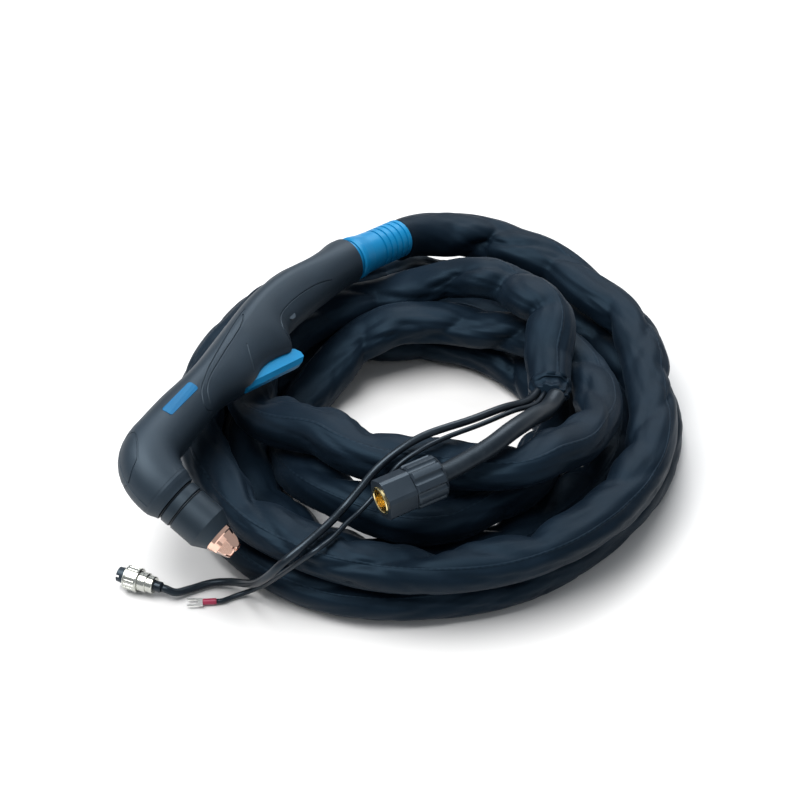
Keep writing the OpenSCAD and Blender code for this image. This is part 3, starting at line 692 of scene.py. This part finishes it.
@dataclass
class WoundLead:
    """The fabric sleeved lead: the free stretch behind the swivel and the hand-wound coil.

    Attributes:
        width: the sleeve's width in the lay.
        height: its height in the lay.
        gap: the room kept between turns.
        slack: how far the cloth stands out beyond the width, to each side.
        throat: its half width and half height inside the swivel.
        mouth_w: its half width where the gathered end starts.
        radius: the radius of track 0.
        shift: how far the turns are off centre.
        shift_to: the direction of that shift, in degrees.
        centre: the coil's middle on the floor.
        tail_in: two places on the tail's axis that the lead starts from.
        open_over: the metres over which it opens behind the swivel.
        close_over: the metres over which it closes before the gathered end.
        square: how far its section is from round.
        uneven: how much its half width and its half height vary.
        around: the mean radius that its UV map is measured at.
        least: the least share of draw-in, below 0 for puffs.
        most: the greatest share of draw-in.
        spacing: the metres between rings.
        sides: the points around.
        lay: the track and the layer that the sleeve has at each turn.
        sags: the spans of unheld cloth: start, full from, full to, end and share.
        stretch: the free stretch's places.
    """

    width: float = 30.0
    height: float = 26.0
    gap: float = 0.6
    slack: float = 1.9
    throat: float = 12.6
    mouth_w: float = 14.6
    radius: float = 150.0
    shift: float = 8.0
    shift_to: float = 167.0
    centre: tuple[float, float] = (181.0, -77.0)
    tail_in: tuple[float, float] = (54.1, 62.0)
    open_over: float = 0.06
    close_over: float = 0.035
    square: float = 0.30
    uneven: tuple[float, float] = (0.7, 0.4)
    around: float = 14.0
    least: float = -0.07
    most: float = 0.5
    spacing: float = 0.0028
    sides: int = 48
    lay: tuple[Place, ...] = (
        (0, -0.75, 1.35), (0.08, -0.4, 1.12), (0.19, 0.12, 1), (0.32, 0.15, 1), (0.50, 0.05, 1),
        (0.62, 0, 1), (0.76, 0, 1), (0.84, -0.21, 1.01), (0.92, -0.4, 0.45), (1, -0.4, 0),
        (1.15, -0.2, 0), (1.32, 0.42, 0), (1.40, 0.3, 0), (1.52, -0.08, 0), (1.60, -0.08, 0),
        (1.76, -0.05, 0), (1.95, 0.59, 0), (2.15, 0.82, 0), (2.32, 1.45, 0), (2.40, 1.33, 0),
        (2.52, 0.95, 0), (2.60, 0.93, 0), (2.76, 0.955, 0), (2.95, 1.635, 0), (3.12, 1.95, 0),
        (3.25, 2.4, 0.2), (3.37, 1.93, 1), (3.44, 1.5, 1), (3.53, 1.7, 1), (3.67, 1.97, 0),
        (3.74, 1.97, 0), (3.89, 2, 1), (4, 2, 1), (4.12, 1.4, 1.1), (4.20, 1.3, 1.3),
        (4.27, 1.35, 1.75), (4.33, 1.55, 2.06), (4.44, 2.3, 2), (4.56, 2.2, 2), (4.70, 1.05, 1.08),
        (4.88, 1, 1.02), (5.01, 1.3, 2.07), (5.08, 1.6, 2.23), (5.17, 2.3, 1.75))
    sags: tuple[tuple[float, float, float, float, float], ...] = (
        (-0.15, -0.07, 0.0, 0.06, 0.45), (3.28, 3.36, 3.58, 3.68, 0.48),
        (4.36, 4.44, 4.62, 4.72, 0.42))
    stretch: tuple[Place, ...] = (
        (325, -11, -5), (337, -24, -9.5), (345, -41, -12.5), (349, -57, -15))
    line: list[Vector] = field(default_factory=list, init=False)
    total: float = field(default=0.0, init=False)

    def station(self, t: float, k: int) -> float:
        """The track or the layer that the sleeve has at one turn.

        Args:
            t: the turn.
            k: 1 for the track, 2 for the layer.

        Returns:
            The track or the layer.
        """
        for a, b in zip(self.lay, self.lay[1:]):
            if t <= b[0]:
                break
        return a[k] + (b[k] - a[k]) * ease(min(max((t - a[0]) / (b[0] - a[0]), 0.0), 1.0))

    def coil_point(self, t: float) -> Vector:
        """The middle of the sleeve at turn t, in metres."""
        a = -TURN * t
        r = (self.radius - (self.width + self.gap) * self.station(t, 1)
             + self.shift * math.cos(a + math.radians(self.shift_to)))
        z = TORCH.floor + self.height / 2 + (self.height + self.gap) * self.station(t, 2)
        x, y = self.centre
        return Vector((x + r * math.cos(a), y + r * math.sin(a), z)) * MM

    def turns_along(self, line: Sequence[Vector]) -> list[float]:
        """The turn that each point of the line has reached."""
        x, y = self.centre
        out, last = [], 0.0
        for p in line:
            t = -math.atan2(p.y - y * MM, p.x - x * MM) / TURN
            last = t + round(last - t)
            out.append(last)
        return out

    def belly(self, t: float) -> float:
        """How far the cloth sags at turn t, as a share of its half height."""
        for start, full, last, end, share in self.sags:
            if start < t < end:
                edge = min(1.0, (t - start) / (full - start), (end - t) / (end - last))
                return share * ease(edge)
        return 0.0

    def path(self) -> list[Vector]:
        """The whole middle line, from the swivel to the gathered end."""
        turns, steps, glance, lead_in = self.lay[-1][0], 72, 0.02, 0.015
        first, last = self.coil_point(0.0), self.coil_point(turns)
        heading_in = (self.coil_point(glance) - first).normalized()
        heading_out = (last - self.coil_point(turns - glance)).normalized()
        start = [*(TORCH.tail(t) for t in self.tail_in), *metres(self.stretch)]
        ring = [self.coil_point(i / steps) for i in range(1, int(turns * steps))]
        line = [*start, first - lead_in * heading_in, first, *ring, last,
                last + lead_in * heading_out]
        return resample(catmull(line, 4), self.spacing)

    def build(self, cloth: bpy.types.Material) -> bpy.types.Object:
        """Makes the sleeve with its folds.

        Args:
            cloth: the sleeve's material.

        Returns:
            The piece.
        """
        line = self.path()
        total = line_length(line)
        count = len(line)
        step = total / (count - 1)
        bends = self._bends(line, step)
        bellies = [self.belly(t) for t in self.turns_along(line)]

        near: list[list[Buckle]] = [[] for _ in line]
        for b in self._buckles(total, bends, step):
            reach = 0.04 + b.span * abs(b.skew)
            first = max(0, int((b.at - reach) / step))
            for i in range(first, min(count, int((b.at + reach) / step) + 1)):
                near[i].append(b)

        def section(i: int, share: float) -> tuple[float, float]:
            """The sleeve's outline at ring i."""
            s = i * step
            a = TURN * share
            open_up = ease(min(s / self.open_over, 1.0))
            close = ease(min((total - s) / self.close_over, 1.0))
            swell = self.uneven[0] * noise.noise(Vector((s * 7.0, 2.0, 5.0)))
            wide = self.mouth_w + (self.width / 2 + self.slack + swell - self.mouth_w) * close
            waver = self.uneven[1] * noise.noise(Vector((s * 9.0, 12.0, 1.0)))
            tall = self.height / 2 + waver
            half_w = (self.throat + (wide - self.throat) * open_up) * MM
            half_h = (self.throat + (tall - self.throat) * open_up) * MM
            c, d = math.cos(a), math.sin(a)
            power = 2.0 / (2.0 + self.square * open_up)
            sag = 1.0 + (bellies[i] if d < 0 else 0.0)
            x = half_w * math.copysign(abs(c) ** power, c)
            y = half_h * math.copysign(abs(d) ** power, d) * sag
            shrink = self._folds(s, a, c, d) + sum(b.draw(s, a) for b in near[i])
            shrink = min(max(shrink * open_up, self.least), self.most)
            return x * (1.0 - shrink), y * (1.0 - shrink)

        piece = sweep("torch_lead", line, self.sides, section, TURN * self.around * MM)
        dress_piece(piece, cloth, Body.TORCH)
        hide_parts("lead_stretch", "lead_coil")
        self.line, self.total = line, total
        return piece

    @staticmethod
    def _bends(line: Sequence[Vector], step: float) -> list[float]:
        """How hard the line bends at each point.

        Args:
            line: the sleeve's middle line.
            step: the distance between its points in metres.

        Returns:
            The bends, where 1 is the coil's usual bend to the right.
        """
        usual_radius, hardest = 0.13, 1.6
        out, reach = [], 4
        for i in range(len(line)):
            a, b = line[max(i - reach, 0)], line[min(i + reach, len(line) - 1)]
            d1, d2 = (line[i] - a), (b - line[i])
            if d1.length < 1e-6 or d2.length < 1e-6:
                out.append(1.0)
                continue
            turn = d1.normalized().cross(d2.normalized()).z
            bend = -turn / (reach * step) * usual_radius
            out.append(max(-hardest, min(hardest, bend)))
        return out

    @staticmethod
    def _buckles(total: float, bends: Sequence[float], step: float) -> list[Buckle]:
        """Places the deep folds inside the bends and the shallow slanting ones on top.

        Args:
            total: the sleeve's length in metres.
            bends: how hard each ring bends, positive to the right.
            step: the distance between rings.

        Returns:
            The folds.
        """
        dice = random.Random(FOLD_SEED)
        out, s = [], 0.07
        while s < total - 0.03:
            bend = bends[int(s / step)]
            hard = min(1.0, 0.45 + 0.55 * abs(bend))
            lean = dice.uniform(-0.25, 1.25)
            out.append(Buckle(s, dice.uniform(0.22, 0.56) * hard,
                              lean if bend > 0 else math.pi - lean,
                              dice.uniform(-0.012, 0.012), dice.uniform(0.0055, 0.0115)))
            s += dice.uniform(0.030, 0.085)
        s = 0.10
        while s < total - 0.10:
            slant = dice.choice((-1.0, 1.0)) * dice.uniform(0.020, 0.046)
            out.append(Buckle(s, dice.uniform(0.09, 0.19),
                              math.pi / 2 + dice.uniform(-0.6, 0.6), slant,
                              dice.uniform(0.0060, 0.0120)))
            s += dice.uniform(0.035, 0.110)
        return out

    @staticmethod
    def _folds(s: float, a: float, c: float, d: float) -> float:
        """The share by which slack cloth draws in at one place.

        Args:
            s: distance along the sleeve in metres.
            a: angle around the sleeve.
            c: the angle's cosine.
            d: the angle's sine.

        Returns:
            The share.
        """
        slow_rate, fine_rate, long_rate, slant_rate = 11.0, 26.0, 7.0, 30.0
        slow = noise.noise(Vector((s * slow_rate, c * 0.9, d * 0.9 + 3.0)))
        fine = noise.noise(Vector((s * fine_rate + 0.6 * c, c * 1.1 + 7.0, d * 1.1)))
        twist = a + 9.0 * s + 1.5 * noise.noise(Vector((s * 5.0, 4.0, 8.0)))
        spiral = Vector((s * long_rate, 1.5 * math.cos(twist), 1.5 * math.sin(twist)))
        long_fold = 1.0 - abs(noise.noise(spiral)) * 4.0
        slant = s * slant_rate + 1.1 * math.sin(a + s * 9.0)
        ridge = 1.0 - abs(noise.noise(Vector((slant, c * 0.9, d * 0.9 - 5.0)))) * 3.4
        share = 0.035 + 0.035 * slow + 0.018 * fine
        share += 0.070 * max(long_fold, 0.0) ** 1.4 + 0.045 * max(ridge, 0.0) ** 1.5
        return share


@dataclass
class SleeveMouth:
    """The gathered end of the sleeve, where the hose and the wires come out.

    Attributes:
        route: the places that it runs through after the lead's last one.
        half_w: its half width at the start and how much of it is lost at the end.
        half_h: its half height at the start and how much of it is lost at the end.
        waist_at: the tie's place along it, as a share.
        around: the mean radius that its UV map is measured at.
        pleats: the gathers around it.
        sides: the points around.
        spacing: the metres between rings.
    """

    route: tuple[Place, ...] = ((198.9, -153, -6.6), (194.5, -155, -3.6), (189, -156, 0))
    half_w: tuple[float, float] = (14.6, 3.2)
    half_h: tuple[float, float] = (12.6, 5.2)
    waist_at: float = 0.66
    around: float = 12.0
    pleats: int = 11
    sides: int = 72
    spacing: float = 0.0012

    def build(self, lead: WoundLead, cloth: bpy.types.Material) -> bpy.types.Object:
        """Makes the gathered mouth.

        Args:
            lead: the sleeve it ends.
            cloth: the sleeve's material.

        Returns:
            The piece.
        """
        start = lead.line[-1]
        line = resample(catmull([start, *metres(self.route)], 10), self.spacing)
        count = len(line)

        def section(i: int, share: float) -> tuple[float, float]:
            """The mouth's outline at ring i."""
            t = i / (count - 1)
            a = TURN * share
            c, d = math.cos(a), math.sin(a)
            half_w = (self.half_w[0] - self.half_w[1] * ease(t)) * MM
            half_h = (self.half_h[0] - self.half_h[1] * ease(t)) * MM
            fold = 0.5 + 0.5 * math.cos(self.pleats * a + 2.0 * t + 1.3 * math.sin(2 * a))
            waist = math.exp(-((t - self.waist_at) / 0.12) ** 2)
            lip = max(0.0, (t - 0.93) / 0.07) ** 2
            shrink = (0.03 + 0.15 * t) * fold + 0.10 * waist + 0.10 * lip
            shrink += 0.05 * noise.noise(Vector((t * 5.0, c * 1.5, d * 1.5)))
            return half_w * c * (1.0 - shrink), half_h * d * (1.0 - shrink)

        piece = sweep("sleeve_mouth", line, self.sides, section, TURN * self.around * MM)
        dress_piece(piece, cloth, Body.TORCH)
        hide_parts("sleeve_end")
        return piece


@dataclass
class RoundCord:
    """A round hose or wire along its own route.

    Attributes:
        name: the piece's name.
        node: the CAD node that it stands for.
        radius: its radius in millimetres.
        far_end: what it ends in; not used.
        fittings: the CAD nodes at that end; not used.
        slot: the record's slot of its jacket; not used.
        sides: the points around.
        route: the places that it runs through.
    """

    name: str
    node: str
    radius: float
    far_end: str
    fittings: tuple[str, ...]
    slot: Slot
    sides: int
    route: tuple[Place, ...]

    def build(self, jacket: bpy.types.Material) -> None:
        """Args:
            jacket: its material.
        """
        line = resample(catmull(metres(self.route), 8), 0.002)
        r = self.radius * MM

        def section(_: int, share: float) -> tuple[float, float]:
            """A circle."""
            a = TURN * share
            return r * math.cos(a), r * math.sin(a)

        piece = sweep(self.name, line, self.sides, section, TURN * r)
        dress_piece(piece, jacket, Body.TORCH)
        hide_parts(self.node)
        round(line_length(line), 4)
        round(2.0 * r, 4)


# ---------------- moulded shells


@dataclass(frozen=True)
class SmoothShell:
    """A half shell of the handle with its moulded surface shaded as one smooth skin.

    Attributes:
        node: the half shell's CAD node.
        weld: the distance in metres within which points are merged.
        crease: the angle in degrees above which an edge stays sharp.
    """

    node: str
    weld: float = 0.000002
    crease: float = 24.0

    def build(self, plastic: bpy.types.Material) -> None:
        """Makes a merged, smoothly shaded copy of the node.

        Args:
            plastic: the shell's material.
        """
        bpy.ops.object.select_all(action="DESELECT")
        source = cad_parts[self.node]
        piece = bpy.data.objects.new(self.node + "_skin", source.data.copy())
        bpy.context.scene.collection.objects.link(piece)
        piece.select_set(True)
        bpy.context.view_layer.objects.active = piece
        bpy.ops.object.mode_set(mode="EDIT")
        bpy.ops.mesh.select_all(action="SELECT")
        bpy.ops.mesh.customdata_custom_splitnormals_clear()
        bpy.ops.mesh.remove_doubles(threshold=self.weld)
        bpy.ops.object.mode_set(mode="OBJECT")
        bpy.ops.object.shade_smooth_by_angle(angle=math.radians(self.crease))
        piece.select_set(False)
        dress_piece(piece, plastic, Body.TORCH)
        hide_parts(self.node)


# ---------------- studio


@dataclass(frozen=True)
class SoftBox:
    """A square soft light that points at the part.

    Attributes:
        name: the light's name.
        place: where it stands, in metres.
        size: its side in metres.
        power: its power in watts.
        colour: its colour.
    """

    name: str
    place: Place
    size: float
    power: float
    colour: Colour

    def build(self, aim: Vector) -> None:
        """Adds the light.

        Args:
            aim: the place that it points at.
        """
        data = bpy.data.lights.new(self.name, "AREA")
        data.shape = "SQUARE"
        data.size = self.size
        data.energy = self.power
        data.color = self.colour
        light = bpy.data.objects.new(self.name, data)
        light.location = self.place
        light.rotation_euler = (aim - Vector(self.place)).to_track_quat("-Z", "Y").to_euler()
        bpy.context.scene.collection.objects.link(light)


@dataclass
class Studio:
    """The pale floor, the soft lights and the camera.

    Attributes:
        eye: the camera's place in metres.
        target: the place that it looks at.
        lens: its focal length in millimetres.
        shift_y: its upward shift, as a share of the picture.
        middle: the part's middle on the floor.
        under: the metres between the part and the floor.
        aim: the place that the lights point at.
        room: the room light's colour.
        room_power: its strength.
        boxes: the soft lights.
    """

    eye: Place = (-0.7253, -0.4396, 0.8306)
    target: Place = (0.1639, -0.0622, -0.0394)
    lens: float = 88.65
    shift_y: float = 0.0325
    middle: tuple[float, float] = (0.18, -0.08)
    under: float = 0.0004
    aim: Place = (0.15, -0.06, -0.03)
    room: Colour = (0.90, 0.95, 1.0)
    room_power: float = 0.40
    boxes: tuple[SoftBox, ...] = (
        SoftBox("key_box", (-0.20, 0.45, 1.70), 1.5, 66.0, (1.0, 0.99, 0.98)),
        SoftBox("fill_box", (-1.0, -1.2, 0.9), 1.3, 2.5, (0.94, 0.97, 1.0)),
        SoftBox("back_box", (1.3, 0.1, 1.1), 1.0, 17.0, (0.96, 0.98, 1.0)))

    def camera(self) -> None:
        """Adds the camera."""
        data = bpy.data.cameras.new("studio_camera")
        data.lens = self.lens
        data.sensor_width = 36.0
        data.shift_y = self.shift_y
        data.clip_end = 20.0
        camera = bpy.data.objects.new("studio_camera", data)
        camera.location = self.eye
        look = Vector(self.target) - Vector(self.eye)
        camera.rotation_euler = look.to_track_quat("-Z", "Y").to_euler()
        bpy.context.scene.collection.objects.link(camera)
        bpy.context.scene.camera = camera

    def floor(self) -> None:
        """Adds the floor."""
        bpy.ops.object.select_all(action="DESELECT")
        place = (*self.middle, TORCH.floor * MM - self.under)
        bpy.ops.mesh.primitive_plane_add(size=9.0, location=place)
        floor = bpy.context.active_object
        floor.name = "studio_floor"
        f = Finish("studio_floor")
        speck = f.noise(f.place(), 3.0, 2.0)
        f.dress(Base_Color=f.mix(speck, (0.60, 0.60, 0.60), (0.62, 0.62, 0.62)), Roughness=0.75)
        floor.data.materials.append(f.material)

    def lights(self) -> None:
        """Adds the soft lights and the room's light."""
        for box in self.boxes:
            box.build(Vector(self.aim))
        world = bpy.data.worlds.new("studio_room")
        world.use_nodes = True
        sky = world.node_tree.nodes["Background"]
        sky.inputs["Color"].default_value = (*self.room, 1.0)
        sky.inputs["Strength"].default_value = self.room_power
        bpy.context.scene.world = world
        bpy.context.scene.view_settings.view_transform = "Standard"


# ---------------- finishes of the CAD nodes


@dataclass
class NodeDresser:
    """Gives every CAD node its finish."""

    finishes: dict[str, tuple[str, ...]] = field(default_factory=lambda: {
        "shell": ("handle_left", "handle_right", "head_collar"),
        "cap": ("retaining_cap", "spacer_ring", "plug_insert", "micro_switch"),
        "blue": ("trigger", "tail_collar", "swivel_sleeve"),
        "plate": ("label_plate",),
        "grip": ("nut_grip", "hex_insulator"),
        "phenolic": ("head_body",),
        "red": ("terminal_sleeve", "switch_button"),
        "copper": ("shield_cap", "nozzle", "electrode", "torch_tube"),
        "brass": ("brass_nut", "hose_nipple", "cathode", "hose_ferrule"),
        "gold": ("plug_pins",),
        "nickel": ("plug_clamp", "plug_shell", "plug_ring"),
        "tin": ("fork_terminal",),
        "steel": ("trigger_pin", "trigger_spring", "handle_screws"),
        "ceramic": ("swirl_ring",),
        "seal": ("o_rings", "inner_hose"),
        "jacket": ("plug_boot", "lead_stretch", "lead_coil", "sleeve_end", "gas_hose",
                   "control_wire", "pilot_wire"),
        "pale_jacket": ("pilot_lead",),
        "red_jacket": ("switch_leads",)})

    @staticmethod
    def materials() -> dict[str, bpy.types.Material]:
        """Builds every finish once.

        Returns:
            The materials by key.
        """
        kinds = {
            "shell": MouldedPlastic("shell_plastic", (0.0045, 0.0088, 0.0145),
                                    (0.0068, 0.0126, 0.0202), 0.54),
            "cap": MouldedPlastic("cap_plastic", (0.0046, 0.0084, 0.0130),
                                  (0.0070, 0.0120, 0.0180), 0.46),
            "blue": MouldedPlastic("blue_plastic", (0.0005, 0.130, 0.295),
                                   (0.001, 0.156, 0.345), 0.44, 2200.0, 0.00002, 0.04,
                                   BLUE_TINT),
            "plate": MouldedPlastic("plate_plastic", (0.0003, 0.064, 0.172),
                                    (0.0006, 0.080, 0.200), 0.50, 2200.0, 0.00001, 0.0,
                                    BLUE_TINT),
            "grip": MouldedPlastic("grip_plastic", (0.0085, 0.0130, 0.0190),
                                   (0.013, 0.0185, 0.0260), 0.38),
            "phenolic": MouldedPlastic("phenolic", (0.16, 0.035, 0.02), (0.22, 0.05, 0.03), 0.4),
            "red": MouldedPlastic("red_vinyl", (0.22, 0.008, 0.034), (0.32, 0.015, 0.052), 0.34,
                                  1500.0, 0.00002, 0.2),
            "copper": Metal("copper", (0.97, 0.62, 0.49), (0.80, 0.40, 0.27), 0.10),
            "brass": Metal("brass", (0.88, 0.72, 0.36), (0.55, 0.40, 0.15), 0.18),
            "gold": Metal("gold_contact", (0.90, 0.68, 0.26), (0.6, 0.4, 0.12), 0.15),
            "nickel": Metal("nickel_plate", (0.53, 0.54, 0.50), (0.26, 0.26, 0.22), 0.20),
            "tin": Metal("tin_plate", (0.86, 0.86, 0.83), (0.55, 0.54, 0.50), 0.30),
            "steel": Metal("plain_steel", (0.56, 0.57, 0.58), (0.3, 0.29, 0.28), 0.30),
            "ceramic": MouldedPlastic("ceramic", (0.72, 0.68, 0.58), (0.78, 0.74, 0.64), 0.6),
            "seal": Rubber("seal_rubber", (0.004, 0.004, 0.005), (0.008, 0.008, 0.009), 0.5),
            "jacket": Rubber("wire_jacket", (0.004, 0.006, 0.009), (0.008, 0.011, 0.015), 0.30),
            "hose": Rubber("hose_rubber", (0.003, 0.005, 0.008), (0.007, 0.010, 0.014), 0.40),
            "pale_jacket": Rubber("pale_jacket", (0.55, 0.55, 0.52), (0.65, 0.65, 0.62), 0.4),
            "red_jacket": Rubber("red_jacket", (0.25, 0.02, 0.02), (0.34, 0.03, 0.03), 0.4),
            "cloth": CoatedFabric(),
        }
        return {key: kind.build() for key, kind in kinds.items()}

    def dress(self, materials: dict[str, bpy.types.Material]) -> None:
        """Assigns the finishes.

        Args:
            materials: the finishes by key.
        """
        for key, nodes in self.finishes.items():
            for name in nodes:
                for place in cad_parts[name].material_slots:
                    place.material = materials[key]
                LOG.info("%s wears %s", name, key)


# ---------------- routes and main


# The axes of the gas connector and of the fork terminal: start, heading and dip.
CONNECTOR: tuple[Place, float, float] = ((73.6, -125.9, 18.0), 143.0, 2.0)
TERMINAL: tuple[Place, float, float] = ((-5.5, -11.3, -62.2), 117.0, 0.0)

GAS_LINE = RoundCord(
    "gas_line", "gas_hose", 6.0, "connector",
    ("nut_grip", "hex_insulator", "brass_nut", "hose_nipple"), Slot.HOSE, 32, (
        (188.5, -160.5, 0.1), (172, -160.5, 3.2), (148, -158.5, 15.2), (124, -153.5, 22.2),
        (106, -147.5, 22.8), (92, -139, 20.6),
        *(axis_point(*CONNECTOR, t) for t in (-4.0, 0.0, 22.0))))

CONTROL_LINE = RoundCord(
    "control_line", "control_wire", 2.5, "plug",
    ("plug_boot", "plug_clamp", "plug_shell", "plug_ring", "plug_insert", "plug_pins"),
    Slot.WIRE, 24, (
        (189, -147.7, 0), (172, -146.5, 5), (150, -138, 14), (127, -126, 19),
        (100, -105, 20.5), (84, -94.5, 17.5), (71, -86, 10.6), (60, -80, 2), (50, -75, -5),
        (36, -71.3, -7.6), (22, -67.6, -8), (10, -62.2, -10.8), (1, -55, -17), (-2, -47, -28),
        (1, -36, -42), (7, -24, -53), (9, -14, -58), (6, -2, -61), (-4, 8, -61),
        (-11.5, 14, -59), (-13.2, 20, -56.4), (-13.2, 22, -56.4)))

PILOT_LINE = RoundCord(
    "pilot_line", "pilot_wire", 1.6, "connector", ("terminal_sleeve", "fork_terminal"),
    Slot.WIRE, 16, (
        (189, -152.4, 0), (172, -152.2, 4.5), (150, -144.5, 13.5), (127, -132, 17),
        (105, -116, 18), (90, -107, 18), (77, -98, 13), (63, -89, -2), (50, -84, -7),
        (38, -80, -8.5), (25, -77, -9.6), (12, -72, -10), (7, -62, -20), (6.7, -50, -35),
        (8.3, -38, -50), (7.7, -29, -58), (3, -20, -62.2),
        *(axis_point(*TERMINAL, t) for t in (-3.0, 0.0))))


def build_cords(materials: dict[str, bpy.types.Material]) -> None:
    """Args:
        materials: the finishes by key.
    """
    lead = WoundLead()
    sleeve = lead.build(materials["cloth"])
    mouth = SleeveMouth().build(lead, materials["cloth"])
    GAS_LINE.build(materials["hose"])
    CONTROL_LINE.build(materials["jacket"])
    PILOT_LINE.build(materials["jacket"])


def main() -> None:
    """Builds the studio, the cords and the finishes."""
    logging.basicConfig(level=logging.INFO, format="%(name)s: %(message)s")
    studio = Studio()
    studio.camera()
    materials = NodeDresser.materials()
    build_cords(materials)
    for node in ("handle_left", "handle_right"):
        SmoothShell(node).build(materials["shell"])
    NodeDresser().dress(materials)
    studio.floor()
    studio.lights()


if __name__ == "__main__":
    main()
